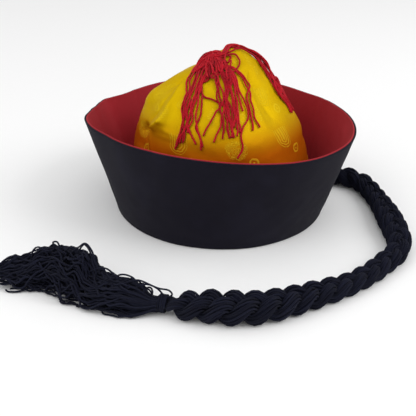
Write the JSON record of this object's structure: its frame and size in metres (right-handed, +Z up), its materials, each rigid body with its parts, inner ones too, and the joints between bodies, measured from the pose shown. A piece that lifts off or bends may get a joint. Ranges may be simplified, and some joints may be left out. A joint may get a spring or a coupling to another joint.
{
  "type": "mandarin hat",
  "caption": "Soft round hat with an upturned lined brim, a peaked cloth crown with a yarn tassel, and a long plait of yarn at the back.",
  "frame": {"origin": "middle of the head opening, on the surface that the hem rests on", "axes": "+Z up, +X towards the back of the hat where the plait starts, and the plait lies across the -Y side"},
  "size_m": [0.3209, 0.3128, 0.1423],
  "materials": {
    "black_cloth": "matt woven cotton",
    "red_lining": "matt woven cotton",
    "yellow_satin": "satin brocade",
    "red_yarn": "soft twisted yarn",
    "black_yarn": "soft twisted yarn"
  },
  "bodies": {
    "root": {"brim_outer": "black_cloth", "brim_lining": "red_lining", "crown": "yellow_satin", "tassel": "red_yarn", "braid_anchor": "black_yarn", "braid": "black_yarn", "braid_tie": "black_yarn", "braid_tuft": "black_yarn"}
  },
  "joints": []
}
